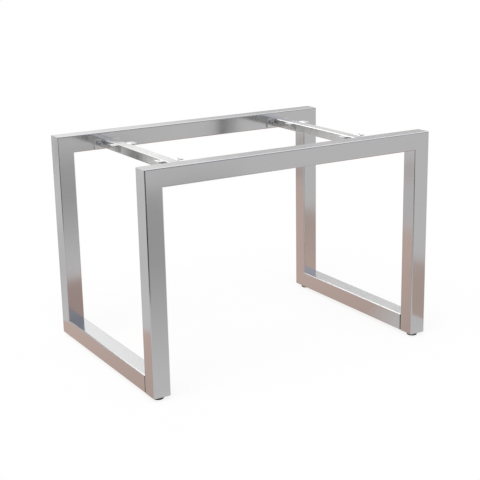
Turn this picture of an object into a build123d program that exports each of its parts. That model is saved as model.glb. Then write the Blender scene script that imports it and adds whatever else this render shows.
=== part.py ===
from build123d import *
import os
from math import sqrt

# A steel table frame. Two inverted-U frames of square tube, front and rear, stand on glides. A foot rail
# on each side is mitred to the rear leg and clamped to a tongue on the front leg. Two crossbars are
# screwed between the top rails and carry angle brackets for the table top.
# Millimetres. X runs left to right, Y front to rear, Z up, with the origin on the floor at the centre.

# Overall size, over the tubes and down to the floor
LENGTH = 1080.0
DEPTH = 730.0
HEIGHT = 737.0

# Square tube of the rails and legs
TUBE = 60.0
TUBE_WALL = 2.0
TUBE_EDGE_RADIUS = 4.0
CORNER_BREAK = 1.2

# Foot rail joint at the front legs
SEAM_GAP = 2.0
BASE_PLATE_THICKNESS = 4.0
BASE_PLATE_EDGE_RADIUS = 2.5
TONGUE_LENGTH = 90.0
TONGUE_THICKNESS = 10.0
TONGUE_SIDE_CLEARANCE = 3.0
TONGUE_SCREW_DIAMETER = 8.0
TONGUE_SCREW_HEAD_DIAMETER = 14.0
TONGUE_SCREW_HEAD_HEIGHT = 4.4
TONGUE_SCREW_HEAD_CHAMFER = 2.0
TONGUE_SCREW_SOCKET = 5.0
TONGUE_SCREW_MARGIN = 26.0

# Crossbars, with their axes set in from the frame's ends and their tops below the rails' tops
CROSSBAR_INSET = 182.5
CROSSBAR_WIDTH = 40.0
CROSSBAR_HEIGHT = 30.0
CROSSBAR_WALL = 2.0
CROSSBAR_EDGE_RADIUS = 3.0
CROSSBAR_DROP = 22.0

# End plates that carry the crossbars, and their socket screws
END_PLATE_OVERHANG = 27.0
END_PLATE_HEIGHT = 34.0
END_PLATE_THICKNESS = 5.0
END_PLATE_CORNER_RADIUS = 2.5
PLATE_SCREW_DIAMETER = 8.0
PLATE_SCREW_HEAD_DIAMETER = 13.0
PLATE_SCREW_HEAD_HEIGHT = 8.0
PLATE_SCREW_SOCKET = 6.0
PLATE_WASHER_DIAMETER = 16.0
PLATE_WASHER_THICKNESS = 1.6

# Rivet nuts in the rails' inner walls
RIVET_NUT_WALL = 1.5
RIVET_NUT_LENGTH = 15.0
RIVET_NUT_BULGE_HEIGHT = 3.0
RIVET_NUT_BULGE_LIP = 1.5

# Angle brackets for the table top, their middles set in from the rails, and their cup-head bolts
BRACKET_INSET = 136.0
BRACKET_WIDTH = 34.0
BRACKET_FLANGE = 25.0
BRACKET_LEG = 26.0
BRACKET_THICKNESS = 3.0
BRACKET_BEND_RADIUS = 1.5
BRACKET_CORNER_RADIUS = 4.0
BRACKET_HOLE_DIAMETER = 7.0
BRACKET_HOLE_REACH = 15.0
BOLT_DIAMETER = 10.0
BOLT_HEAD_DIAMETER = 20.0
BOLT_HEAD_HEIGHT = 8.0
BOLT_HEAD_ROUNDING = 6.0
BOLT_TAIL = 3.0
BOLT_WASHER_DIAMETER = 20.0
BOLT_WASHER_THICKNESS = 2.0
NUT_ACROSS_FLATS = 16.0
NUT_HEIGHT = 8.4

# Glides under the legs
GLIDE_HEIGHT = 12.0
GLIDE_DIAMETER = 36.0
GLIDE_EDGE_CHAMFER = 1.5
GLIDE_SCREW_DIAMETER = 6.0
GLIDE_SCREW_HEAD_DIAMETER = 11.0
GLIDE_SCREW_RECESS = 1.5
GLIDE_SCREW_LENGTH = 20.0

# Fits
HOLE_CLEARANCE = 0.5
THREAD_CLEARANCE = 0.1
SOCKET_DEPTH_SHARE = 0.5
SMALLEST_INSIDE_RADIUS = 0.5
HEAD_CHAMFER_SHARE = 0.08

# Places worked out from the sizes above
LEFT, RIGHT = -1, 1
FRONT, REAR = -1, 1
LEG_X = LENGTH / 2 - TUBE / 2
LEG_Y = DEPTH / 2 - TUBE / 2
RAIL_INNER_Y = DEPTH / 2 - TUBE
CROSSBAR_X = LENGTH / 2 - CROSSBAR_INSET
CROSSBAR_TOP = HEIGHT - CROSSBAR_DROP
CROSSBAR_MIDDLE = CROSSBAR_TOP - CROSSBAR_HEIGHT / 2
CROSSBAR_HALF = CROSSBAR_WIDTH / 2
CROSSBAR_LENGTH = 2 * (RAIL_INNER_Y - END_PLATE_THICKNESS)
END_PLATE_MIDDLE = CROSSBAR_TOP - END_PLATE_HEIGHT / 2
PLATE_SCREW_REACH = CROSSBAR_HALF + END_PLATE_OVERHANG / 2
BRACKET_Y = RAIL_INNER_Y - BRACKET_INSET
RIVET_NUT_RADIUS = PLATE_SCREW_DIAMETER / 2 + RIVET_NUT_WALL
TONGUE_BOTTOM = GLIDE_HEIGHT + TUBE_WALL
TONGUE_SCREW_PLACES = (TONGUE_SCREW_MARGIN, TONGUE_LENGTH - TONGUE_SCREW_MARGIN)
SIDE_NAMES = {LEFT: "left", RIGHT: "right"}
END_NAMES = {FRONT: "front", REAR: "rear"}


def along_x(x, y, z, sign=1):
    """A plane at a point, facing along X."""
    return Plane(origin=(x, y, z), x_dir=(0, 1, 0), z_dir=(sign, 0, 0))


def along_y(x, y, z, sign=1):
    """A plane at a point, facing along Y."""
    return Plane(origin=(x, y, z), x_dir=(1, 0, 0), z_dir=(0, sign, 0))


def along_z(x, y, z):
    """A plane at a point, facing up."""
    return Plane(origin=(x, y, z), x_dir=(1, 0, 0), z_dir=(0, 0, 1))


def rod(plane, diameter, start, end):
    """A round bar along a plane's normal, between two distances from it."""
    return extrude(plane.offset(start) * Circle(diameter / 2), amount=end - start)


def ring(plane, outer, inner, thickness):
    """A flat washer that stands on a plane."""
    return extrude(plane * (Circle(outer / 2) - Circle(inner / 2)), amount=thickness)


def hexagon(plane, across_flats, depth):
    """A hexagonal bar that stands on a plane."""
    return extrude(plane * RegularPolygon(across_flats / sqrt(3), 6), amount=depth)


def tube(plane, width, height, edge_radius, wall, length):
    """A rolled rectangular tube that stands on a plane."""
    inside_radius = max(edge_radius - wall, SMALLEST_INSIDE_RADIUS)
    outside = RectangleRounded(width, height, edge_radius)
    inside = RectangleRounded(width - 2 * wall, height - 2 * wall, inside_radius)
    return extrude(plane * (outside - inside), amount=length)


def square_tube(plane, length):
    """A length of the frame's own tube."""
    return tube(plane, TUBE, TUBE, TUBE_EDGE_RADIUS, TUBE_WALL, length)


def cut_mitre(piece, corner, across, outward, keep):
    """Saws a tube through its outside corner and breaks the ground edge there.

    across is square to the saw cut, outward points out of the corner along the cut, and keep is the side
    of the cut that the piece lies on.
    """
    piece = split(piece, Plane(origin=corner, z_dir=across), keep=keep)
    ground = Vector(corner) - Vector(outward) * (CORNER_BREAK / 2)
    return split(piece, Plane(origin=ground, z_dir=outward), keep=Keep.BOTTOM)


def cut_top_mitre(piece, side, y, keep):
    """Cuts the mitre between a leg and its top rail."""
    return cut_mitre(piece, (side * LENGTH / 2, y, HEIGHT), (-side, 0, 1), (side, 0, 1), keep)


def cut_foot_mitre(piece, side, keep):
    """Cuts the mitre between a rear leg and its foot rail."""
    return cut_mitre(piece, (side * LEG_X, DEPTH / 2, GLIDE_HEIGHT), (0, 1, 1), (0, 1, -1), keep)


def plate_screw_seats(side, end):
    """Planes on a rail's inner face at one crossbar's two screws, looking into the table."""
    return [
        along_y(side * CROSSBAR_X + hand * PLATE_SCREW_REACH, end * RAIL_INNER_Y, CROSSBAR_MIDDLE, -end)
        for hand in (LEFT, RIGHT)
    ]


def all_plate_screw_seats():
    """The planes of every crossbar screw."""
    return [
        seat for end in (FRONT, REAR) for side in (LEFT, RIGHT) for seat in plate_screw_seats(side, end)
    ]


def top_rail(end):
    """A top rail, mitred at both ends, with holes for the rivet nuts in its inner wall."""
    y = end * LEG_Y
    rail = square_tube(along_x(-LENGTH / 2, y, HEIGHT - TUBE / 2), LENGTH)
    hole = 2 * (RIVET_NUT_RADIUS + THREAD_CLEARANCE)
    for side in (LEFT, RIGHT):
        rail = cut_top_mitre(rail, side, y, Keep.TOP)
        for seat in plate_screw_seats(side, end):
            rail -= rod(seat, hole, -2 * TUBE_WALL, TUBE_WALL)
    return rail


def front_leg(side):
    """A front leg, mitred at the top and cut square above its base plate."""
    y = FRONT * LEG_Y
    bottom = GLIDE_HEIGHT + BASE_PLATE_THICKNESS
    leg = square_tube(along_z(side * LEG_X, y, bottom), HEIGHT - bottom)
    return cut_top_mitre(leg, side, y, Keep.BOTTOM)


def rear_leg(side):
    """A rear leg, mitred to the top rail above and to the foot rail below."""
    y = REAR * LEG_Y
    leg = square_tube(along_z(side * LEG_X, y, GLIDE_HEIGHT), HEIGHT - GLIDE_HEIGHT)
    leg = cut_top_mitre(leg, side, y, Keep.BOTTOM)
    return cut_foot_mitre(leg, side, Keep.TOP)


def foot_rail(side):
    """A foot rail, mitred at the rear, open at the front seam, drilled from below for its screws."""
    x = side * LEG_X
    front = -RAIL_INNER_Y + SEAM_GAP
    rail = square_tube(along_y(x, front, GLIDE_HEIGHT + TUBE / 2), DEPTH / 2 - front)
    rail = cut_foot_mitre(rail, side, Keep.BOTTOM)
    under = along_z(x, 0, GLIDE_HEIGHT)
    for place in TONGUE_SCREW_PLACES:
        plane = Pos(0, place - RAIL_INNER_Y, 0) * under
        rail -= rod(plane, TONGUE_SCREW_DIAMETER + 2 * HOLE_CLEARANCE, -TUBE_WALL, 2 * TUBE_WALL)
    plane = Pos(0, REAR * LEG_Y, 0) * under
    rail -= rod(plane, GLIDE_SCREW_DIAMETER + 2 * THREAD_CLEARANCE, -TUBE_WALL, 2 * TUBE_WALL)
    return rail


def base_plate(side):
    """The plate that closes a front leg's lower end and takes the glide's screw."""
    plane = along_z(side * LEG_X, FRONT * LEG_Y, GLIDE_HEIGHT)
    plate = extrude(plane * RectangleRounded(TUBE, TUBE, TUBE_EDGE_RADIUS), amount=BASE_PLATE_THICKNESS)
    under = plate.faces().sort_by(Axis.Z)[0]
    plate = fillet(under.edges(), BASE_PLATE_EDGE_RADIUS)
    hole = GLIDE_SCREW_DIAMETER + 2 * THREAD_CLEARANCE
    return plate - rod(plane, hole, -BASE_PLATE_THICKNESS, 2 * BASE_PLATE_THICKNESS)


def tongue(side):
    """The flat bar behind a front leg that lies on the foot rail's lower wall."""
    x = side * LEG_X
    width = TUBE - 2 * TUBE_WALL - 2 * TONGUE_SIDE_CLEARANCE
    plane = along_y(x, -RAIL_INNER_Y, TONGUE_BOTTOM + TONGUE_THICKNESS / 2)
    bar = extrude(plane * Rectangle(width, TONGUE_THICKNESS), amount=TONGUE_LENGTH)
    for place in TONGUE_SCREW_PLACES:
        under = along_z(x, place - RAIL_INNER_Y, TONGUE_BOTTOM)
        hole = TONGUE_SCREW_DIAMETER + 2 * THREAD_CLEARANCE
        bar -= rod(under, hole, -TONGUE_THICKNESS, 2 * TONGUE_THICKNESS)
    return bar


def tongue_screws():
    """The button-head screws that clamp the foot rails to their tongues from below."""
    screws = []
    for side in (LEFT, RIGHT):
        for place in TONGUE_SCREW_PLACES:
            seat = along_z(side * LEG_X, place - RAIL_INNER_Y, GLIDE_HEIGHT)
            head = rod(seat, TONGUE_SCREW_HEAD_DIAMETER, -TONGUE_SCREW_HEAD_HEIGHT, 0)
            rim = head.edges().filter_by(GeomType.CIRCLE).sort_by(Axis.Z)[0]
            head = chamfer(rim, TONGUE_SCREW_HEAD_CHAMFER)
            crown = seat.offset(-TONGUE_SCREW_HEAD_HEIGHT)
            head -= hexagon(crown, TONGUE_SCREW_SOCKET, TONGUE_SCREW_HEAD_HEIGHT * SOCKET_DEPTH_SHARE)
            shank = rod(seat, TONGUE_SCREW_DIAMETER, 0, TUBE_WALL + TONGUE_THICKNESS)
            screws.append(head + shank)
    return screws


def crossbar(side):
    """A rectangular tube between two end plates, drilled through its sides for the bracket bolts."""
    plane = along_y(side * CROSSBAR_X, -CROSSBAR_LENGTH / 2, CROSSBAR_MIDDLE)
    bar = tube(
        plane, CROSSBAR_WIDTH, CROSSBAR_HEIGHT, CROSSBAR_EDGE_RADIUS, CROSSBAR_WALL, CROSSBAR_LENGTH
    )
    for end in (FRONT, REAR):
        middle = along_x(side * CROSSBAR_X, end * BRACKET_Y, CROSSBAR_MIDDLE)
        bar -= rod(middle, BOLT_DIAMETER + 2 * HOLE_CLEARANCE, -CROSSBAR_WIDTH, CROSSBAR_WIDTH)
    return bar


def end_plate(side, end):
    """A plate across a crossbar's end, level with its top, with a screw hole on each side of the bar."""
    plane = along_y(side * CROSSBAR_X, end * RAIL_INNER_Y, END_PLATE_MIDDLE, -end)
    width = CROSSBAR_WIDTH + 2 * END_PLATE_OVERHANG
    outline = RectangleRounded(width, END_PLATE_HEIGHT, END_PLATE_CORNER_RADIUS)
    plate = extrude(plane * outline, amount=END_PLATE_THICKNESS)
    hole = PLATE_SCREW_DIAMETER + 2 * HOLE_CLEARANCE
    for seat in plate_screw_seats(side, end):
        plate -= rod(seat, hole, -END_PLATE_THICKNESS, 2 * END_PLATE_THICKNESS)
    return plate


def cap_screw(seat, diameter, length, head_diameter, head_height, socket):
    """A socket head cap screw, with its head on the seat and its shank behind it."""
    head = rod(seat, head_diameter, 0, head_height)
    crown = seat.offset(head_height)
    rim = head.edges().filter_by(GeomType.CIRCLE).sort_by(lambda edge: seat.to_local_coords(edge.center()).Z)
    head = chamfer(rim[-1], HEAD_CHAMFER_SHARE * head_diameter)
    depth = SOCKET_DEPTH_SHARE * head_height
    return head + rod(seat, diameter, -length, 0) - hexagon(crown.offset(-depth), socket, depth)


def end_plate_screws():
    """The cap screws that pull the end plates to the rails."""
    grip = PLATE_WASHER_THICKNESS + END_PLATE_THICKNESS + TUBE_WALL
    length = grip + RIVET_NUT_LENGTH - TUBE_WALL
    return [
        cap_screw(
            seat.offset(END_PLATE_THICKNESS + PLATE_WASHER_THICKNESS),
            PLATE_SCREW_DIAMETER,
            length,
            PLATE_SCREW_HEAD_DIAMETER,
            PLATE_SCREW_HEAD_HEIGHT,
            PLATE_SCREW_SOCKET,
        )
        for seat in all_plate_screw_seats()
    ]


def end_plate_washers():
    """The washers under the end plate screws."""
    hole = PLATE_SCREW_DIAMETER + 2 * HOLE_CLEARANCE
    return [
        ring(seat.offset(END_PLATE_THICKNESS), PLATE_WASHER_DIAMETER, hole, PLATE_WASHER_THICKNESS)
        for seat in all_plate_screw_seats()
    ]


def rivet_nuts():
    """Flush rivet nuts, each swelled behind the rail's inner wall."""
    nuts = []
    bulge_radius = RIVET_NUT_RADIUS + RIVET_NUT_BULGE_LIP
    bore = PLATE_SCREW_DIAMETER + 2 * THREAD_CLEARANCE
    for seat in all_plate_screw_seats():
        body = rod(seat, 2 * RIVET_NUT_RADIUS, -RIVET_NUT_LENGTH, 0)
        body += rod(seat, 2 * bulge_radius, -TUBE_WALL - RIVET_NUT_BULGE_HEIGHT, -TUBE_WALL)
        nuts.append(body - rod(seat, bore, -2 * RIVET_NUT_LENGTH, RIVET_NUT_LENGTH))
    return nuts


def bracket(side, end, hand):
    """A pressed angle bracket on one side of a crossbar, its flange level with the bar's upper face.

    The left bracket's bolt hole is square and holds the bolt's neck.
    """
    face_x = side * CROSSBAR_X + hand * CROSSBAR_HALF
    y = end * BRACKET_Y
    thickness = BRACKET_THICKNESS
    section = make_face(
        Polyline(
            (0, 0),
            (BRACKET_FLANGE, 0),
            (BRACKET_FLANGE, -thickness),
            (thickness, -thickness),
            (thickness, -BRACKET_LEG),
            (0, -BRACKET_LEG),
            close=True,
        )
    )
    corners = section.vertices().sort_by_distance((0, 0))
    section = fillet(corners[0], BRACKET_BEND_RADIUS + thickness)
    bend = section.vertices().sort_by_distance((thickness, -thickness))[0]
    section = fillet(bend, BRACKET_BEND_RADIUS)
    plane = Plane(origin=(face_x, y, CROSSBAR_TOP), x_dir=(hand, 0, 0), z_dir=(0, -hand, 0))
    angle = extrude(plane * section, amount=BRACKET_WIDTH / 2, both=True)
    tips = angle.edges().filter_by(Axis.Z).filter_by(lambda edge: edge.length < 2 * thickness)
    feet = angle.edges().filter_by(Axis.X).group_by(Axis.Z)[0]
    angle = fillet(tips + feet, BRACKET_CORNER_RADIUS)
    hole_x = face_x + hand * BRACKET_HOLE_REACH
    angle -= rod(along_z(hole_x, y, CROSSBAR_TOP), BRACKET_HOLE_DIAMETER, -2 * thickness, thickness)
    bolt_axis = along_x(face_x, y, CROSSBAR_MIDDLE, hand)
    hole = BOLT_DIAMETER + 2 * HOLE_CLEARANCE
    if hand == LEFT:
        return angle - extrude(bolt_axis * Rectangle(hole, hole), amount=2 * thickness, both=True)
    return angle - rod(bolt_axis, hole, -thickness, 2 * thickness)


def bolt_seats(hand):
    """Planes on the brackets' outer faces, on one side of each crossbar, facing away from the bar."""
    reach = CROSSBAR_HALF + BRACKET_THICKNESS
    return [
        along_x(side * CROSSBAR_X + hand * reach, end * BRACKET_Y, CROSSBAR_MIDDLE, hand)
        for side in (LEFT, RIGHT)
        for end in (FRONT, REAR)
    ]


def bracket_bolts():
    """The cup-head bolts, heads to the left, that clamp a pair of brackets to the bar."""
    length = CROSSBAR_WIDTH + 2 * BRACKET_THICKNESS + BOLT_WASHER_THICKNESS + NUT_HEIGHT + BOLT_TAIL
    bolts = []
    for seat in bolt_seats(LEFT):
        head = rod(seat, BOLT_HEAD_DIAMETER, 0, BOLT_HEAD_HEIGHT)
        head = fillet(head.edges().filter_by(GeomType.CIRCLE).sort_by(Axis.X)[0], BOLT_HEAD_ROUNDING)
        neck = extrude(seat * Rectangle(BOLT_DIAMETER, BOLT_DIAMETER), amount=-BRACKET_THICKNESS)
        bolts.append(head + neck + rod(seat, BOLT_DIAMETER, -length, 0))
    return bolts


def bracket_washers():
    """The washers under the bolts' nuts."""
    hole = BOLT_DIAMETER + 2 * HOLE_CLEARANCE
    return [ring(seat, BOLT_WASHER_DIAMETER, hole, BOLT_WASHER_THICKNESS) for seat in bolt_seats(RIGHT)]


def bracket_nuts():
    """The hexagon nuts on the bolts' right ends."""
    nuts = []
    bore = BOLT_DIAMETER + 2 * THREAD_CLEARANCE
    for seat in bolt_seats(RIGHT):
        seat = seat.offset(BOLT_WASHER_THICKNESS)
        nut = hexagon(seat, NUT_ACROSS_FLATS, NUT_HEIGHT)
        nuts.append(nut - rod(seat, bore, -NUT_HEIGHT, 2 * NUT_HEIGHT))
    return nuts


def glide_screw_section(grow):
    """Half of a countersunk screw's section, from the floor up, made larger by grow on its radius."""
    head = GLIDE_SCREW_HEAD_DIAMETER / 2 + grow
    shank = GLIDE_SCREW_DIAMETER / 2 + grow
    low = GLIDE_SCREW_RECESS
    return low, head, shank, low + head - shank


def turned(points, x, y):
    """A turned piece about an upright axis, from half of its section in radius and height."""
    section = make_face(Polyline(*points, close=True))
    plane = Plane(origin=(x, y, 0), x_dir=(1, 0, 0), z_dir=(0, -1, 0))
    return revolve(plane * section, axis=Axis((x, y, 0), (0, 0, 1)))


def glide(side, end):
    """A round moulded glide with a countersunk hole for its screw."""
    x, y = side * LEG_X, end * LEG_Y
    plane = along_z(x, y, 0)
    body = rod(plane, GLIDE_DIAMETER, 0, GLIDE_HEIGHT)
    rims = body.edges().filter_by(GeomType.CIRCLE).sort_by(Axis.Z)
    body = chamfer(rims[0], GLIDE_EDGE_CHAMFER)
    low, head, shank, neck = glide_screw_section(HOLE_CLEARANCE)
    over = GLIDE_HEIGHT + TUBE_WALL
    points = ((0, -low), (head, -low), (head, low), (shank, neck), (shank, over), (0, over))
    return body - turned(points, x, y)


def glide_screws():
    """The countersunk screws that hold the glides."""
    low, head, shank, neck = glide_screw_section(0)
    top = low + GLIDE_SCREW_LENGTH
    points = ((0, low), (head, low), (shank, neck), (shank, top), (0, top))
    return [turned(points, side * LEG_X, end * LEG_Y) for side in (LEFT, RIGHT) for end in (FRONT, REAR)]


def build():
    """Every piece of the frame by its name."""
    pieces = {}
    for end, end_name in END_NAMES.items():
        pieces[f"{end_name}_top_rail"] = top_rail(end)
    for side, side_name in SIDE_NAMES.items():
        pieces[f"front_{side_name}_leg"] = front_leg(side)
        pieces[f"rear_{side_name}_leg"] = rear_leg(side)
        pieces[f"{side_name}_foot_rail"] = foot_rail(side)
        pieces[f"front_{side_name}_leg_base_plate"] = base_plate(side)
        pieces[f"{side_name}_foot_tongue"] = tongue(side)
        pieces[f"{side_name}_crossbar"] = crossbar(side)
        for end, end_name in END_NAMES.items():
            pieces[f"{side_name}_crossbar_{end_name}_plate"] = end_plate(side, end)
            pieces[f"{end_name}_{side_name}_glide"] = glide(side, end)
            for hand, hand_name in SIDE_NAMES.items():
                name = f"{side_name}_bar_{end_name}_{hand_name}_bracket"
                pieces[name] = bracket(side, end, hand)
    groups = {
        "tongue_screws": tongue_screws(),
        "end_plate_screws": end_plate_screws(),
        "end_plate_washers": end_plate_washers(),
        "rail_rivet_nuts": rivet_nuts(),
        "bracket_bolts": bracket_bolts(),
        "bracket_washers": bracket_washers(),
        "bracket_nuts": bracket_nuts(),
        "glide_screws": glide_screws(),
    }
    for name, solids in groups.items():
        pieces[name] = Compound(children=solids)
    return pieces


def main():
    os.makedirs("parts", exist_ok=True)
    for name, piece in build().items():
        export_step(piece, f"parts/{name}.step")


if __name__ == "__main__":
    main()
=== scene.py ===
import math

import bpy
from mathutils import Matrix, Quaternion, Vector


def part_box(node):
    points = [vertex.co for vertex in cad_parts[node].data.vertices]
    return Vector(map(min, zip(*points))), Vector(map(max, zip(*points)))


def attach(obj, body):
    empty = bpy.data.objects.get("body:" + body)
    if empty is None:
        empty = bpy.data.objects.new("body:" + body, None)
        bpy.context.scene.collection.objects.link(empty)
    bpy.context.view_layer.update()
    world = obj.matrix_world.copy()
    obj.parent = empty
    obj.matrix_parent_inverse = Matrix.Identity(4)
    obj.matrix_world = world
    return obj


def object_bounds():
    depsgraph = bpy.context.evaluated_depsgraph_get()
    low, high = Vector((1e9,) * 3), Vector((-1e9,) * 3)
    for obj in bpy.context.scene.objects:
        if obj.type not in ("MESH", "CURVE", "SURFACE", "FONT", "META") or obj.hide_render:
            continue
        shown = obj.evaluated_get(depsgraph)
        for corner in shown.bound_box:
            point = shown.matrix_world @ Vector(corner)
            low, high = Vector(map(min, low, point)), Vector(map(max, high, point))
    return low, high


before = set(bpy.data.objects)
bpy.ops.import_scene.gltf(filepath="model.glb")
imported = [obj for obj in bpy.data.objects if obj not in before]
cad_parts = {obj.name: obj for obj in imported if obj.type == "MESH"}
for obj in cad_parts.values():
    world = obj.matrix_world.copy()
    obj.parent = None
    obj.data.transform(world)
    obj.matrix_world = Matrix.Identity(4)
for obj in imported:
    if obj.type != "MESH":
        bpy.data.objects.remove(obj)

CAD_LOW, CAD_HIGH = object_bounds()

bl_info = {
    "name": "Square-tube table frame",
    "version": (1, 0, 0),
    "blender": (4, 5, 0),
    "location": "View3D > Sidebar > Table frame",
    "description": "Gives a square-tube table frame its finishes and welds and sets it in a studio",
    "category": "Object",
}

MM = 0.001
SIDES = ("left", "right")
ENDS = ("front", "rear")
WHITE = (1, 1, 1)

# Reaches with which a card's tone changes along one axis alone.
ALONG_X = (1, 1000, 1000)
ALONG_Y = (1000, 1, 1000)

# Where the studio's far walls stand, how far they run to both sides and how high they go.
FRONT_WALL_Y, REAR_WALL_Y, LEFT_WALL_X = -5.5, 12.0, -9.0
WALL_RUN = 30.0
COOL_TOP, DARK_TOP = 3.0, 9.0


def linear(colour):
    """An sRGB hex colour as linear red, green and blue."""
    shares = [int(colour[i:i + 2], 16) / 255 for i in (1, 3, 5)]
    return tuple(s / 12.92 if s <= 0.04045 else ((s + 0.055) / 1.055) ** 2.4 for s in shares)


def scaled(colour, share):
    """A colour made darker or brighter."""
    return tuple(share * c for c in colour)


def colour_property(name, description, colour):
    """A colour that the sidebar shows, from its sRGB hex value."""
    return bpy.props.FloatVectorProperty(name=name, description=description, subtype="COLOR", size=3,
                                         min=0.0, max=1.0, default=linear(colour))


def share_property(name, description, share):
    """A share from 0 to 1 that the sidebar shows as a slider."""
    return bpy.props.FloatProperty(name=name, description=description, subtype="FACTOR",
                                   min=0.0, max=1.0, default=share)


def length_property(name, description, metres):
    """A length that the sidebar shows in the scene's unit."""
    return bpy.props.FloatProperty(name=name, description=description, unit="LENGTH",
                                   min=0.0, precision=5, default=metres)


def angle_property(name, description, degrees):
    """An angle that the sidebar shows in the scene's unit."""
    return bpy.props.FloatProperty(name=name, description=description, unit="ROTATION",
                                   default=math.radians(degrees))


def strength_property(name, description, strength):
    """A light's strength; a card of strength 1 is white."""
    return bpy.props.FloatProperty(name=name, description=description, min=0.0, default=strength)


class TubeFinish(bpy.types.PropertyGroup):
    """The satin stainless steel of the two frames and the foot rails."""

    colour: colour_property("Steel", "Colour of the ground steel", "#C9C9CA")
    hollows: colour_property("Grit hollows", "Colour in the hollows of the grit lines", "#C5C5C6")
    roughness: share_property("Roughness", "How far the satin face spreads what it mirrors", 0.12)
    grit: length_property("Grit line spacing", "Distance between the belt's grit lines", 0.9 * MM)
    cloud: length_property("Cloud width", "Width of the duller clouds that handling leaves", 80 * MM)


class CrossbarFinish(bpy.types.PropertyGroup):
    """The galvanised steel of the crossbars and their end plates."""

    colour: colour_property("Zinc", "Colour of the zinc coat", "#DBDBDA")
    clouds: colour_property("Zinc clouds", "Colour of the duller clouds in the zinc", "#CDCDCC")
    roughness: share_property("Roughness", "How dull the zinc is", 0.14)
    draw_line: length_property("Draw line spacing", "Distance between the lines of the drawing die", 1.2 * MM)
    cloud: length_property("Cloud width", "Width of the clouds in the zinc", 18 * MM)


class HardwareFinish(bpy.types.PropertyGroup):
    """The bright zinc of the brackets, screws, washers and nuts, and the bolts' dull zinc flake."""

    bracket: colour_property("Bracket zinc", "Colour of the brackets and tongues", "#E4E5E6")
    fastener: colour_property("Fastener zinc", "Colour of the screws, washers and nuts", "#C4C8CD")
    flake: colour_property("Bolt zinc flake", "Colour of the bolts' dull coating", "#ECECEA")
    roughness: share_property("Roughness", "How dull the bright zinc is", 0.3)
    spangle: length_property("Spangle size", "Width of the bright zinc's crystals", 3.0 * MM)


class GlideFinish(bpy.types.PropertyGroup):
    """The moulded plastic of the glides."""

    colour: colour_property("Plastic", "Colour of the glides", "#4C4E50")
    scuff: colour_property("Scuffs", "Colour of the scuffed spots", "#6C6E70")
    roughness: share_property("Roughness", "How matt the plastic is", 0.5)
    grain: length_property("Mould grain", "Width of the grain that the mould leaves", 0.6 * MM)
    spot: length_property("Spot width", "Width of the scuffed spots", 6 * MM)


class WeldShape(bpy.types.PropertyGroup):
    """The tack welds between the crossbars and their end plates."""

    leg: length_property("Leg", "Reach of the weld on the bar and on the plate", 3.5 * MM)
    length: length_property("Length", "How far the weld runs down the corner", 10.0 * MM)
    drop: length_property("Drop", "How far below the bar's top the weld starts", 2.0 * MM)
    ripple: length_property("Ripple pitch", "Distance between two ripples of the bead", 2.0 * MM)
    ripple_depth: share_property("Ripple depth", "How far a ripple stands out, as a share of the leg", 0.07)
    colour: colour_property("Weld metal", "Colour of the bead", "#DADADA")
    tint: colour_property("Heat tint", "Colour of the bead where the heat tinted it", "#ACA9A6")


class StudioSettings(bpy.types.PropertyGroup):
    """The camera, the lamp and the cards round the frame."""

    camera_place: bpy.props.FloatVectorProperty(
        name="Camera", description="Where the camera stands", subtype="TRANSLATION", unit="LENGTH", size=3,
        default=(-1.9036, -3.1920, 1.3930))
    azimuth: angle_property("Azimuth", "Side that the camera looks from, left of the front", -30.799)
    elevation: angle_property("Elevation", "How far the camera looks down", 15.595)
    roll: angle_property("Roll", "How far the camera leans", -1.136)
    lens: bpy.props.FloatProperty(
        name="Lens", description="Focal length on a 36 mm frame", unit="CAMERA", default=81.98)
    lamp: strength_property("Lamp", "Strength of the wide lamp overhead", 1.733)
    fill: share_property("Fill", "Light of the white room on matt faces", 0.5)
    floor: share_property("Floor", "Share of the floor's white that shadows can take away", 0.15)
    pale_paper: colour_property("Pale paper", "Tone that the left faces mirror", "#E6E6E6")
    shaded_paper: colour_property("Shaded paper", "Tone of the pale paper in the frame's shade", "#D8D7D6")
    white_strip: strength_property("White strip", "Brightness of the strip for the bars' front halves", 0.9)
    front_paper: colour_property("Front paper", "Tone that the front faces mirror", "#E3E2E1")
    dim_paper: colour_property("Dim paper", "Tone of the front paper where it is dimmest", "#B9B9B9")
    near_boards: colour_property("Near boards", "Tone of the boards under the front legs", "#CDB9B0")
    far_boards: colour_property("Far boards", "Tone of the boards under the rear legs", "#E2CABF")
    shaded_boards: colour_property("Shaded boards", "Tone of the boards in the shade", "#BEA8A0")
    dark_screen: colour_property("Dark screens", "Tone of the screens and of a strip far behind", "#38383A")
    cool_wall: colour_property("Cool wall", "Tone of the wall behind the camera", "#B6BAC8")
    cool_window: colour_property("Cool window", "Tone of that wall's lit end at the right", "#EEEEFC")
    dark_wall: colour_property("Dark wall", "Tone of the unlit walls and of the screens' shade", "#6E7076")
    bar_light: strength_property("Bar light", "Brightness of the light for the left bar's top", 1.18)
    bar_light_end: strength_property("Bar light's end", "Its brightness for the right bar's top", 0.92)
    back_light: strength_property("Back light", "Brightness at the left of the wall behind the frame", 1.02)
    back_wall: colour_property("Back wall", "Tone at the right of the wall behind the frame", "#CDCDCD")
    high_light: strength_property("High light", "Brightness of the window high behind the frame", 2.5)


class TableFrameSettings(bpy.types.PropertyGroup):
    """All that the sidebar offers."""

    tubes: bpy.props.PointerProperty(type=TubeFinish, name="Tubes", description="Satin steel")
    crossbars: bpy.props.PointerProperty(type=CrossbarFinish, name="Crossbars", description="Dull zinc")
    hardware: bpy.props.PointerProperty(type=HardwareFinish, name="Hardware", description="Bright zinc")
    glides: bpy.props.PointerProperty(type=GlideFinish, name="Glides", description="Moulded plastic")
    welds: bpy.props.PointerProperty(type=WeldShape, name="Welds", description="Tack welds")
    studio: bpy.props.PointerProperty(type=StudioSettings, name="Studio", description="Camera and light")


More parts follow.
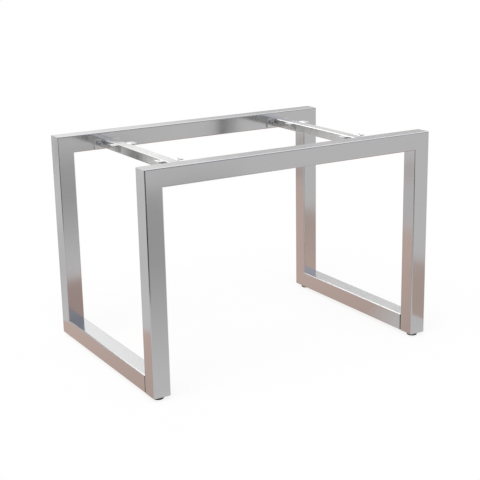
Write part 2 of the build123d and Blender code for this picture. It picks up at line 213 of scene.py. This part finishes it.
def node(tree, kind, inputs=None, **settings):
    """Adds a node with its settings; an input given as a socket is linked, any other is set."""
    made = tree.nodes.new(kind)
    for name, value in settings.items():
        setattr(made, name, value)
    for socket, value in (inputs or {}).items():
        if isinstance(value, bpy.types.NodeSocket):
            tree.links.new(value, made.inputs[socket])
        else:
            made.inputs[socket].default_value = value
    return made


def opaque(colour):
    """A colour with its alpha, as a colour socket wants it."""
    return (*colour, 1.0)


def empty_material(name):
    """A new material with no nodes."""
    material = bpy.data.materials.new(name)
    material.use_nodes = True
    material.node_tree.nodes.clear()
    return material


def give(names, material):
    """Puts a material in the slots of CAD nodes."""
    for name in names:
        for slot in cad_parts[name].material_slots:
            slot.material = material


def satin_stainless(name, finish, along):
    """Stainless steel tube, belt-ground to a satin face.

    The belt leaves fine lines along the tube, which spread a mirrored edge a little and let broad
    tones through almost unchanged, and handling leaves faint duller clouds.
    """
    material = empty_material(name)
    tree = material.node_tree
    place = node(tree, "ShaderNodeTexCoord").outputs["Object"]
    # Grit lines are about 0.1 mm apart, and are drawn coarser so that they show.
    line_length = 90 * finish.grit
    scale = [1 / (line_length if axis == along else finish.grit) for axis in "XYZ"]
    stretched = node(tree, "ShaderNodeMapping", {"Vector": place, "Scale": scale}).outputs["Vector"]
    lines = node(tree, "ShaderNodeTexNoise", {
        "Vector": stretched, "Scale": 1.0, "Detail": 3.0}).outputs[0]
    clouds = node(tree, "ShaderNodeTexNoise", {
        "Vector": place, "Scale": 1 / finish.cloud, "Detail": 2.0}).outputs[0]
    colour = node(tree, "ShaderNodeMix", {
        "Factor": lines, "A": opaque(finish.hollows), "B": opaque(finish.colour)}, data_type="RGBA")
    # Clouds and grit lines change the roughness only a little.
    by_clouds, by_lines = 0.015, 0.03
    base = node(tree, "ShaderNodeMapRange", {
        "Value": clouds, "From Min": 0.35, "From Max": 0.65,
        "To Min": finish.roughness - by_clouds, "To Max": finish.roughness + by_clouds})
    rough = node(tree, "ShaderNodeMath", {0: lines, 1: by_lines, 2: base.outputs[0]},
                 operation="MULTIPLY_ADD")
    relief = node(tree, "ShaderNodeBump", {"Strength": 0.04, "Distance": 0.02 * MM, "Height": lines})
    steel = node(tree, "ShaderNodeBsdfPrincipled", {
        "Base Color": colour.outputs["Result"], "Metallic": 1.0, "Roughness": rough.outputs[0],
        "Normal": relief.outputs[0]})
    node(tree, "ShaderNodeOutputMaterial", {"Surface": steel.outputs[0]})
    return material


def galvanised_steel(name, finish, along):
    """Drawn or rolled mild steel, galvanised and left dull.

    Die or roll lines run along the piece, and the zinc lies in soft clouds. It blurs what it mirrors, and
    its white bloom keeps the faces pale from every side, so it is only part metal.
    """
    material = empty_material(name)
    tree = material.node_tree
    place = node(tree, "ShaderNodeTexCoord").outputs["Object"]
    line_length = 120 * finish.draw_line
    scale = [1 / (line_length if axis == along else finish.draw_line) for axis in "XYZ"]
    stretched = node(tree, "ShaderNodeMapping", {"Vector": place, "Scale": scale}).outputs["Vector"]
    lines = node(tree, "ShaderNodeTexNoise", {
        "Vector": stretched, "Scale": 1.0, "Detail": 2.0}).outputs[0]
    clouds = node(tree, "ShaderNodeTexNoise", {
        "Vector": place, "Scale": 1 / finish.cloud, "Detail": 4.0}).outputs[0]
    colour = node(tree, "ShaderNodeMix", {
        "Factor": clouds, "A": opaque(finish.clouds), "B": opaque(finish.colour)}, data_type="RGBA")
    by_clouds = 0.04
    rough = node(tree, "ShaderNodeMapRange", {
        "Value": clouds, "From Min": 0.3, "From Max": 0.7,
        "To Min": finish.roughness + by_clouds, "To Max": finish.roughness - by_clouds})
    relief = node(tree, "ShaderNodeBump", {"Strength": 0.15, "Distance": 0.03 * MM, "Height": lines})
    steel = node(tree, "ShaderNodeBsdfPrincipled", {
        "Base Color": colour.outputs["Result"], "Metallic": 0.85, "Roughness": rough.outputs[0],
        "Normal": relief.outputs[0]})
    node(tree, "ShaderNodeOutputMaterial", {"Surface": steel.outputs[0]})
    return material


def bright_zinc(name, finish, colour):
    """Pressed or turned steel, bright zinc plated.

    Zinc crystals give a faint spangle in tone and gloss, with a cool cast.
    """
    material = empty_material(name)
    tree = material.node_tree
    place = node(tree, "ShaderNodeTexCoord").outputs["Object"]
    spangle = node(tree, "ShaderNodeTexVoronoi", {"Vector": place, "Scale": 1 / finish.spangle})
    crystal = node(tree, "ShaderNodeRGBToBW", {"Color": spangle.outputs["Color"]}).outputs[0]
    dullest = scaled(colour, 0.88)
    by_crystal = 0.06
    tone = node(tree, "ShaderNodeMix", {
        "Factor": crystal, "A": opaque(dullest), "B": opaque(colour)}, data_type="RGBA")
    rough = node(tree, "ShaderNodeMapRange", {
        "Value": crystal, "To Min": finish.roughness + by_crystal, "To Max": finish.roughness - by_crystal})
    plating_grain = 0.5 * MM
    grain = node(tree, "ShaderNodeTexNoise", {
        "Vector": place, "Scale": 1 / plating_grain, "Detail": 2.0}).outputs[0]
    relief = node(tree, "ShaderNodeBump", {"Strength": 0.08, "Distance": 0.02 * MM, "Height": grain})
    zinc = node(tree, "ShaderNodeBsdfPrincipled", {
        "Base Color": tone.outputs["Result"], "Metallic": 1.0, "Roughness": rough.outputs[0],
        "Normal": relief.outputs[0]})
    node(tree, "ShaderNodeOutputMaterial", {"Surface": zinc.outputs[0]})
    return material


def zinc_flake(name, finish):
    """Forged steel, dipped in zinc flake and baked.

    The flakes lie in a binder, so the coat is a pale matt silver that takes light from all sides.
    """
    material = empty_material(name)
    tree = material.node_tree
    place = node(tree, "ShaderNodeTexCoord").outputs["Object"]
    # Flakes are about 0.05 mm wide, and are drawn coarser so that they show.
    flake_width = 0.8 * MM
    flakes = node(tree, "ShaderNodeTexNoise", {
        "Vector": place, "Scale": 1 / flake_width, "Detail": 2.0}).outputs[0]
    dullest = scaled(finish.flake, 0.85)
    tone = node(tree, "ShaderNodeMix", {
        "Factor": flakes, "A": opaque(dullest), "B": opaque(finish.flake)}, data_type="RGBA")
    coat = node(tree, "ShaderNodeBsdfPrincipled", {
        "Base Color": tone.outputs["Result"], "Metallic": 0.3, "Roughness": 0.45})
    node(tree, "ShaderNodeOutputMaterial", {"Surface": coat.outputs[0]})
    return material


def moulded_polypropylene(name, finish):
    """Polypropylene, injection moulded in a spark-eroded mould.

    The mould's fine grain makes it matt, and use scuffs it paler in spots.
    """
    material = empty_material(name)
    tree = material.node_tree
    place = node(tree, "ShaderNodeTexCoord").outputs["Object"]
    grain = node(tree, "ShaderNodeTexNoise", {
        "Vector": place, "Scale": 1 / finish.grain, "Detail": 3.0}).outputs[0]
    spots = node(tree, "ShaderNodeTexNoise", {
        "Vector": place, "Scale": 1 / finish.spot, "Detail": 3.0}).outputs[0]
    worn = node(tree, "ShaderNodeMapRange", {"Value": spots, "From Min": 0.5, "From Max": 0.75}).outputs[0]
    tone = node(tree, "ShaderNodeMix", {
        "Factor": worn, "A": opaque(finish.colour), "B": opaque(finish.scuff)}, data_type="RGBA")
    by_wear = 0.2
    rough = node(tree, "ShaderNodeMath", {0: worn, 1: by_wear, 2: finish.roughness}, operation="MULTIPLY_ADD")
    relief = node(tree, "ShaderNodeBump", {"Strength": 0.25, "Distance": 0.05 * MM, "Height": grain})
    plastic = node(tree, "ShaderNodeBsdfPrincipled", {
        "Base Color": tone.outputs["Result"], "Roughness": rough.outputs[0], "IOR": 1.49,
        "Normal": relief.outputs[0]})
    node(tree, "ShaderNodeOutputMaterial", {"Surface": plastic.outputs[0]})
    return material


def weld_metal(name, shape):
    """Weld metal, left as it froze.

    The bead is bright, with a faint straw tint where the heat coloured it.
    """
    material = empty_material(name)
    tree = material.node_tree
    place = node(tree, "ShaderNodeTexCoord").outputs["Object"]
    tint_width = 5 * MM
    bright = node(tree, "ShaderNodeTexNoise", {
        "Vector": place, "Scale": 1 / tint_width, "Detail": 2.0}).outputs[0]
    tone = node(tree, "ShaderNodeMix", {
        "Factor": bright, "A": opaque(shape.tint), "B": opaque(shape.colour)}, data_type="RGBA")
    rough = node(tree, "ShaderNodeMapRange", {"Value": bright, "To Min": 0.38, "To Max": 0.2})
    bead = node(tree, "ShaderNodeBsdfPrincipled", {
        "Base Color": tone.outputs["Result"], "Metallic": 1.0, "Roughness": rough.outputs[0]})
    node(tree, "ShaderNodeOutputMaterial", {"Surface": bead.outputs[0]})
    return material


def deselect():
    """Leaves nothing selected, so that the next operator acts on the new piece alone."""
    bpy.ops.object.select_all(action="DESELECT")


class TABLEFRAME_OT_dress_tubes(bpy.types.Operator):
    """Gives the rails, legs and foot rails their satin steel, ground along each tube"""

    bl_idname = "table_frame.dress_tubes"
    bl_label = "Dress the tubes"

    def execute(self, context):
        finish = context.scene.table_frame.tubes
        rails = [f"{end}_top_rail" for end in ENDS]
        give(rails, satin_stainless("stainless_satin_ground_rails", finish, "X"))
        legs = [f"{end}_{side}_leg" for end in ENDS for side in SIDES]
        plates = [f"front_{side}_leg_base_plate" for side in SIDES]
        give(legs + plates, satin_stainless("stainless_satin_ground_legs", finish, "Z"))
        feet = [f"{side}_foot_rail" for side in SIDES]
        give(feet, satin_stainless("stainless_satin_ground_feet", finish, "Y"))
        return {"FINISHED"}


class TABLEFRAME_OT_dress_crossbars(bpy.types.Operator):
    """Gives the crossbars and their end plates their galvanised steel"""

    bl_idname = "table_frame.dress_crossbars"
    bl_label = "Dress the crossbars"

    def execute(self, context):
        finish = context.scene.table_frame.crossbars
        bars = [f"{side}_crossbar" for side in SIDES]
        give(bars, galvanised_steel("steel_drawn_galvanised_bars", finish, "Y"))
        plates = [f"{side}_crossbar_{end}_plate" for side in SIDES for end in ENDS]
        give(plates, galvanised_steel("steel_rolled_galvanised_plates", finish, "X"))
        return {"FINISHED"}


class TABLEFRAME_OT_dress_hardware(bpy.types.Operator):
    """Gives the brackets, tongues and fasteners their bright zinc, and the bolts their zinc flake"""

    bl_idname = "table_frame.dress_hardware"
    bl_label = "Dress the hardware"

    def execute(self, context):
        finish = context.scene.table_frame.hardware
        brackets = [f"{bar}_bar_{end}_{side}_bracket" for bar in SIDES for end in ENDS for side in SIDES]
        tongues = [f"{side}_foot_tongue" for side in SIDES]
        give(brackets + tongues, bright_zinc("steel_pressed_bright_zinc", finish, finish.bracket))
        fasteners = ["tongue_screws", "end_plate_screws", "end_plate_washers", "rail_rivet_nuts",
                     "bracket_washers", "bracket_nuts", "glide_screws"]
        give(fasteners, bright_zinc("steel_turned_bright_zinc", finish, finish.fastener))
        give(["bracket_bolts"], zinc_flake("steel_forged_zinc_flake", finish))
        return {"FINISHED"}


class TABLEFRAME_OT_dress_glides(bpy.types.Operator):
    """Gives the glides their moulded plastic"""

    bl_idname = "table_frame.dress_glides"
    bl_label = "Dress the glides"

    def execute(self, context):
        finish = context.scene.table_frame.glides
        glides = [f"{end}_{side}_glide" for end in ENDS for side in SIDES]
        give(glides, moulded_polypropylene("polypropylene_moulded_matt", finish))
        return {"FINISHED"}


class TABLEFRAME_OT_lay_welds(bpy.types.Operator):
    """Lays a rippled tack weld high in each corner between a crossbar and its end plates"""

    bl_idname = "table_frame.lay_welds"
    bl_label = "Lay the crossbar welds"

    def execute(self, context):
        shape = context.scene.table_frame.welds
        material = weld_metal("weld_metal_as_laid", shape)
        bead = self.model_bead(shape)
        if not bead.data.polygons:
            raise RuntimeError("the weld bead has no faces")
        bead.data.materials.append(material)
        # The bead fills the corner towards -X and -Y; quarter turns take it to the other corners.
        turns = {("left", "rear"): 0, ("right", "rear"): 1, ("right", "front"): 2, ("left", "front"): 3}
        for bar in SIDES:
            low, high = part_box(f"{bar}_crossbar")
            for (side, end), quarter in turns.items():
                corner = Vector((low.x if side == "left" else high.x, high.y if end == "rear" else low.y,
                                 high.z - shape.drop - shape.length))
                piece = bead.copy()
                piece.data = bead.data.copy()
                piece.name = piece.data.name = f"{bar}_bar_{end}_{side}_weld"
                context.collection.objects.link(piece)
                turn = Matrix.Rotation(quarter * math.pi / 2, 4, "Z")
                piece.data.transform(Matrix.Translation(corner) @ turn)
                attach(piece, "root")
        bpy.data.objects.remove(bead)
        return {"FINISHED"}

    def model_bead(self, shape):
        """One bead at the origin: a quarter disc drawn up the corner, swelling at each ripple."""
        deselect()
        bpy.ops.mesh.primitive_circle_add(vertices=24, radius=shape.leg, fill_type="NGON")
        bead = bpy.context.object
        bpy.ops.object.mode_set(mode="EDIT")
        for cut in ((1, 0, 0), (0, 1, 0)):
            bpy.ops.mesh.select_all(action="SELECT")
            bpy.ops.mesh.bisect(plane_co=(0, 0, 0), plane_no=cut, clear_outer=True)
        steps_a_ripple = 6
        steps = steps_a_ripple * round(shape.length / shape.ripple)
        rise = shape.length / steps
        # The bead starts and stops in a rounded crater, which is this share of its full size.
        crater = 0.6
        size = crater
        bpy.ops.mesh.select_all(action="SELECT")
        bpy.ops.transform.resize(value=(size, size, 1.0), center_override=(0, 0, 0))
        for step in range(1, steps + 1):
            swell = 1 + shape.ripple_depth * (((step % steps_a_ripple) / steps_a_ripple) ** 2 - 0.5)
            from_end = min(step, steps - step, steps_a_ripple) / steps_a_ripple
            wanted = swell * (crater + (1 - crater) * math.sin(from_end * math.pi / 2))
            bpy.ops.mesh.extrude_region_move(TRANSFORM_OT_translate={"value": (0, 0, rise)})
            bpy.ops.transform.resize(value=(wanted / size, wanted / size, 1.0), center_override=(0, 0, 0))
            size = wanted
        bpy.ops.mesh.select_all(action="SELECT")
        bpy.ops.mesh.normals_make_consistent(inside=False)
        bpy.ops.object.mode_set(mode="OBJECT")
        bpy.ops.object.shade_smooth_by_angle(angle=math.radians(50))
        return bead


class TABLEFRAME_OT_set_stage(bpy.types.Operator):
    """Sets the floor, the cards, the lamp and the camera"""

    bl_idname = "table_frame.set_stage"
    bl_label = "Set the stage"

    def execute(self, context):
        studio = context.scene.table_frame.studio
        context.scene.view_settings.view_transform = "Standard"
        self.light_room(context.scene, studio)
        self.lay_floor(studio)
        self.lay_cards(studio)
        self.hang_cool_wall(studio)
        self.stand_screens(studio)
        self.hang_lights(studio)
        self.hang_far_walls(studio)
        self.hang_lamp(context, studio)
        self.place_camera(context, studio)
        return {"FINISHED"}

    def seen_white(self, tree):
        """A socket that is 1 for what the eye, a mirror and a glass see, and 0 for matt light."""
        path = node(tree, "ShaderNodeLightPath").outputs
        eye = node(tree, "ShaderNodeMath", {0: path["Is Camera Ray"], 1: path["Is Glossy Ray"]},
                   operation="MAXIMUM")
        return node(tree, "ShaderNodeMath", {0: eye.outputs[0], 1: path["Is Transmission Ray"]},
                    operation="MAXIMUM").outputs[0]

    def light_room(self, scene, studio):
        """A white room: full white to the eye and in the steel, softer as fill light."""
        world = bpy.data.worlds.new("white_room")
        world.use_nodes = True
        tree = world.node_tree
        tree.nodes.clear()
        strength = node(tree, "ShaderNodeMapRange", {
            "Value": self.seen_white(tree), "To Min": studio.fill, "To Max": 1.0})
        room = node(tree, "ShaderNodeBackground", {"Color": opaque(WHITE), "Strength": strength.outputs[0]})
        node(tree, "ShaderNodeOutputWorld", {"Surface": room.outputs[0]})
        scene.world = world

    def lay_floor(self, studio):
        """A pale floor that is white to the eye, less what the shadows take away."""
        deselect()
        bpy.ops.mesh.primitive_plane_add(size=80.0)
        floor = bpy.context.object
        floor.name = "studio_floor"
        material = empty_material("paper_matt_white")
        tree = material.node_tree
        paper = node(tree, "ShaderNodeBsdfDiffuse", {"Color": opaque(scaled(WHITE, studio.floor))})
        glow = node(tree, "ShaderNodeMath", {0: self.seen_white(tree), 1: 1.0 - studio.floor},
                    operation="MULTIPLY")
        white = node(tree, "ShaderNodeEmission", {"Color": opaque(WHITE), "Strength": glow.outputs[0]})
        both = node(tree, "ShaderNodeAddShader", {0: paper.outputs[0], 1: white.outputs[0]})
        node(tree, "ShaderNodeOutputMaterial", {"Surface": both.outputs[0]})
        floor.data.materials.append(material)

    def glow(self, name, near, far=None, spot=(0, 0, 0), reach=(1, 1, 1), span=(0, 1)):
        """A card's own light, which goes from one tone near a spot to another away from it.

        The way from the spot is counted in reaches along X, Y and Z, and the tone changes over the span.
        Without a second tone the card is even.
        """
        material = empty_material(name)
        tree = material.node_tree
        place = node(tree, "ShaderNodeTexCoord").outputs["Object"]
        from_spot = node(tree, "ShaderNodeVectorMath", {0: place, 1: spot}, operation="SUBTRACT").outputs[0]
        in_reach = node(tree, "ShaderNodeVectorMath", {0: from_spot, 1: reach}, operation="DIVIDE").outputs[0]
        away = node(tree, "ShaderNodeVectorMath", {0: in_reach}, operation="LENGTH").outputs["Value"]
        share = node(tree, "ShaderNodeMapRange", {"Value": away, "From Min": span[0], "From Max": span[1]})
        tone = node(tree, "ShaderNodeMix", {
            "Factor": share.outputs[0], "A": opaque(near), "B": opaque(near if far is None else far)},
            data_type="RGBA")
        light = node(tree, "ShaderNodeEmission", {"Color": tone.outputs["Result"], "Strength": 1.0})
        node(tree, "ShaderNodeOutputMaterial", {"Surface": light.outputs[0]})
        return material

    def card(self, corners, material):
        """A flat card that only the steel mirrors."""
        deselect()
        bpy.ops.mesh.primitive_circle_add(vertices=len(corners), fill_type="NGON")
        card = bpy.context.object
        card.name = material.name
        for vertex, corner in zip(card.data.vertices, corners):
            vertex.co = corner
        card.data.update()
        card.visible_camera = card.visible_diffuse = card.visible_transmission = card.visible_shadow = False
        card.data.materials.append(material)

    def lay(self, outline, height, material):
        """A card that lies just over the floor."""
        self.card([(x, y, height) for x, y in outline], material)

    def wall(self, start, end, bottom, top, material):
        """An upright card between two points on the floor."""
        self.card([(*start, bottom), (*end, bottom), (*end, top), (*start, top)], material)

    def lay_cards(self, studio):
        """Papers and boards on the floor, in layers, which tone what the upright faces mirror."""
        paper_z, front_z, dim_z, boards_z, shade_z = (MM * layer for layer in range(1, 6))
        edge, before_frame = 9.0, 60 * MM
        front = CAD_LOW.y - before_frame
        # Pale paper lies under all the rest, in the frame's shade behind the left legs.
        self.lay([(-edge, -edge), (edge, -edge), (edge, edge), (-edge, edge)], paper_z,
                 self.glow("pale_paper", studio.shaded_paper, studio.pale_paper, (-0.5, 1.4, 0),
                           span=(0.2, 1.0)))
        # A dark strip far behind at the left shows in the rear halves of the bars' sides.
        self.lay([(-4.6, 7.0), (-1.82, 3.07), (-1.82, 3.22), (-2.05, 3.9), (-3.2, 6.0), (-4.4, 8.0)], front_z,
                 self.glow("dark_strip", studio.dark_screen))
        # White paper beside it shows in their front halves.
        self.lay([(-4.6, 6.06), (-1.9, 2.6), (-1.9, 2.98), (-4.6, 6.7)], front_z,
                 self.glow("white_strip", scaled(WHITE, studio.white_strip)))
        # A board at the left shows high in the inner face of the front right leg.
        self.lay([(-1.12, 1.62), (-1.25, 1.62), (-1.6, 2.08), (-1.46, 2.08)], front_z,
                 self.glow("left_board", studio.shaded_boards))
        # A longer one behind it shows high in the inner face of the rear right leg.
        self.lay([(-0.53, 1.95), (-0.70, 1.95), (-1.54, 3.22), (-1.39, 3.22)], front_z,
                 self.glow("rear_board", studio.shaded_boards))
        self.lay([(-edge, -edge), (edge, -edge), (edge, front), (-edge, front)], front_z,
                 self.glow("front_paper", studio.front_paper))
        # The paper in front of the left legs gets dimmer towards an edge, where the light reaches it again.
        self.lay([(-0.9, front), (0.3, front), (1.3, -3.0), (0.1, -3.0)], dim_z,
                 self.glow("dim_paper", studio.front_paper, studio.dim_paper, (0, front, 0), ALONG_Y,
                           (0.1, 1.3)))
        # The boards under the frame are paler towards the light from the rear.
        boards = [(-1.0, -0.36), (0.64, -0.36), (0.64, -1.2), (1.04, -1.2), (1.25, -0.77), (1.3, -0.3),
                  (1.0, 0.12), (0.62, 0.35), (-0.25, 2.2), (-0.7, 2.2), (-0.44, 0.76), (-0.62, 0.45),
                  (-0.80, 0.22), (-1.0, 0.05)]
        self.lay(boards, boards_z, self.glow("warm_boards", studio.near_boards, studio.far_boards,
                                             (0, -2, 0), (9, 1, 1), (1.4, 2.4)))
        self.lay([(-0.52, -0.34), (0.0, -0.34), (0.0, 0.22), (-0.46, 0.22)], shade_z,
                 self.glow("shaded_boards", studio.shaded_boards))
        # Light through the frame pales the boards by the right foot, which shows at the front of the foot's
        # inner face.
        boards_here = tuple((near + far) / 2 for near, far in zip(studio.near_boards, studio.far_boards))
        self.lay([(0.363, -0.161), (0.478, -0.301), (0.478, -0.03), (0.363, -0.03)], shade_z,
                 self.glow("pale_spot", studio.front_paper, boards_here, (-0.352, -0.867, 0),
                           span=(1.0, 1.14)))

    def hang_cool_wall(self, studio):
        """The wall behind the camera, with a lit end at the right."""
        self.wall((-WALL_RUN, FRONT_WALL_Y), (WALL_RUN, FRONT_WALL_Y), 0.1, COOL_TOP,
                  self.glow("cool_wall", studio.cool_wall, studio.cool_window, (-6, 0, 0), ALONG_X,
                            (8.2, 10)))

    def stand_screens(self, studio):
        """Dark screens at the front left, where only the rounded edges of the legs mirror them."""
        screen = self.glow("dark_screen", studio.dark_screen)
        # One stretch is low, because the left bar's side would see it by way of the rear left leg.
        tall, low = 0.65, 0.24
        posts = [(-1.9, -0.5), (-1.9, -0.9), (-1.55, -1.3), (-1.2, -1.7), (-0.75, -1.7), (-0.2, -1.7)]
        for start, end, top in zip(posts, posts[1:], (tall, tall, low, low, tall)):
            self.wall(start, end, 0.0, top, screen)
        # A small one stands close to the front left leg, high up.
        self.wall((-0.64, -0.5), (-0.5, -0.5), 0.5, 0.75, screen)
        # The floor before the screens is in their shade.
        shade = [(-1.9, -0.5), (-1.9, -0.9), (-1.2, -1.7), (-0.2, -1.7), (-0.2, -1.3), (-1.05, -1.3),
                 (-1.5, -0.8), (-1.5, -0.5)]
        self.lay(shade, 6 * MM, self.glow("screen_shade", studio.dark_wall))

    def hang_lights(self, studio):
        """A light close behind, where only the tops of the bars mirror it, and a pane at the front."""
        left_end, right_end = (scaled(WHITE, light) for light in (studio.bar_light, studio.bar_light_end))
        self.wall((-0.1, 1.0), (1.3, 1.0), 0.9, 0.98,
                  self.glow("bar_light", left_end, right_end, (0.1, 0, 0), ALONG_X))
        # The pane keeps the left bar's own mirror image on the rear rail pale.
        pane_y = FRONT_WALL_Y + 0.05
        self.wall((1.3, pane_y), (2.5, pane_y), 1.4, 1.9, self.glow("lit_pane", WHITE))

    def hang_far_walls(self, studio):
        """The unlit walls at the front and left and the lit wall behind, for the tubes' tops and edges."""
        dark = self.glow("dark_wall", studio.dark_wall)
        self.wall((-WALL_RUN, FRONT_WALL_Y), (WALL_RUN, FRONT_WALL_Y), COOL_TOP, DARK_TOP, dark)
        self.wall((LEFT_WALL_X, 16.0), (LEFT_WALL_X, 40.0), 0.3, DARK_TOP, dark)
        # The wall behind fades to the right. Its upper part is brighter, by these factors at its two ends.
        low_top, high_bottom, high_top = 4.05, 7.0, 16.0
        upper_left, upper_right = 1.27, 1.4605
        start, end = (-1.0, REAR_WALL_Y), (WALL_RUN, REAR_WALL_Y)
        fade = {"spot": (-4, 0, 0), "reach": ALONG_X, "span": (8.2, 11.5)}
        bright = scaled(WHITE, studio.back_light)
        self.wall(start, end, 0.1, low_top, self.glow("back_wall", bright, studio.back_wall, **fade))
        self.wall(start, end, low_top, high_bottom,
                  self.glow("back_wall_upper", scaled(bright, upper_left),
                            scaled(studio.back_wall, upper_right), **fade))
        self.wall((-6.0, REAR_WALL_Y), end, high_bottom, high_top,
                  self.glow("high_window", scaled(WHITE, studio.high_light)))

    def hang_lamp(self, context, studio):
        """A wide lamp overhead, to the front and left, which lights matt faces and the floor evenly."""
        lamp = bpy.data.lights.new("lamp", "SUN")
        lamp.energy, lamp.angle = studio.lamp, math.radians(50)
        hung = bpy.data.objects.new("lamp", lamp)
        # The steel mirrors the white room, and the lamp's own disc would bleach it.
        hung.visible_glossy = False
        context.collection.objects.link(hung)
        shines = Vector((0.35, 0.3, -1.0))
        hung.rotation_euler = shines.to_track_quat("-Z", "Y").to_euler()

    def place_camera(self, context, studio):
        """The camera, at the photo's viewing angle."""
        data = bpy.data.cameras.new("camera")
        data.sensor_width, data.lens = 36.0, studio.lens
        camera = bpy.data.objects.new("camera", data)
        context.collection.objects.link(camera)
        camera.location = studio.camera_place
        flat = math.cos(studio.elevation)
        back = Vector((math.sin(studio.azimuth) * flat, -math.cos(studio.azimuth) * flat,
                       math.sin(studio.elevation)))
        lean = Quaternion((0, 0, 1), studio.roll)
        camera.rotation_euler = ((-back).to_track_quat("-Z", "Y") @ lean).to_euler()
        context.scene.camera = camera


class TABLEFRAME_PT_sidebar(bpy.types.Panel):
    """Lists the steps and the settings"""

    bl_idname = "TABLEFRAME_PT_sidebar"
    bl_label = "Table frame"
    bl_space_type = "VIEW_3D"
    bl_region_type = "UI"
    bl_category = "Table frame"

    def draw(self, context):
        settings = context.scene.table_frame
        groups = (settings.tubes, settings.crossbars, settings.hardware, settings.glides, settings.welds,
                  settings.studio)
        for operator, group in zip(STEPS, groups):
            box = self.layout.box()
            box.operator(operator.bl_idname)
            for name in group.__annotations__:
                box.prop(group, name)


STEPS = (TABLEFRAME_OT_dress_tubes, TABLEFRAME_OT_dress_crossbars, TABLEFRAME_OT_dress_hardware,
         TABLEFRAME_OT_dress_glides, TABLEFRAME_OT_lay_welds, TABLEFRAME_OT_set_stage)
CLASSES = (TubeFinish, CrossbarFinish, HardwareFinish, GlideFinish, WeldShape, StudioSettings,
           TableFrameSettings, *STEPS, TABLEFRAME_PT_sidebar)


def register():
    for cls in CLASSES:
        bpy.utils.register_class(cls)
    bpy.types.Scene.table_frame = bpy.props.PointerProperty(type=TableFrameSettings)


def unregister():
    del bpy.types.Scene.table_frame
    for cls in reversed(CLASSES):
        bpy.utils.unregister_class(cls)


def main():
    register()
    bpy.ops.table_frame.dress_tubes()
    bpy.ops.table_frame.dress_crossbars()
    bpy.ops.table_frame.dress_hardware()
    bpy.ops.table_frame.dress_glides()
    bpy.ops.table_frame.lay_welds()
    bpy.ops.table_frame.set_stage()


if __name__ == "__main__":
    main()
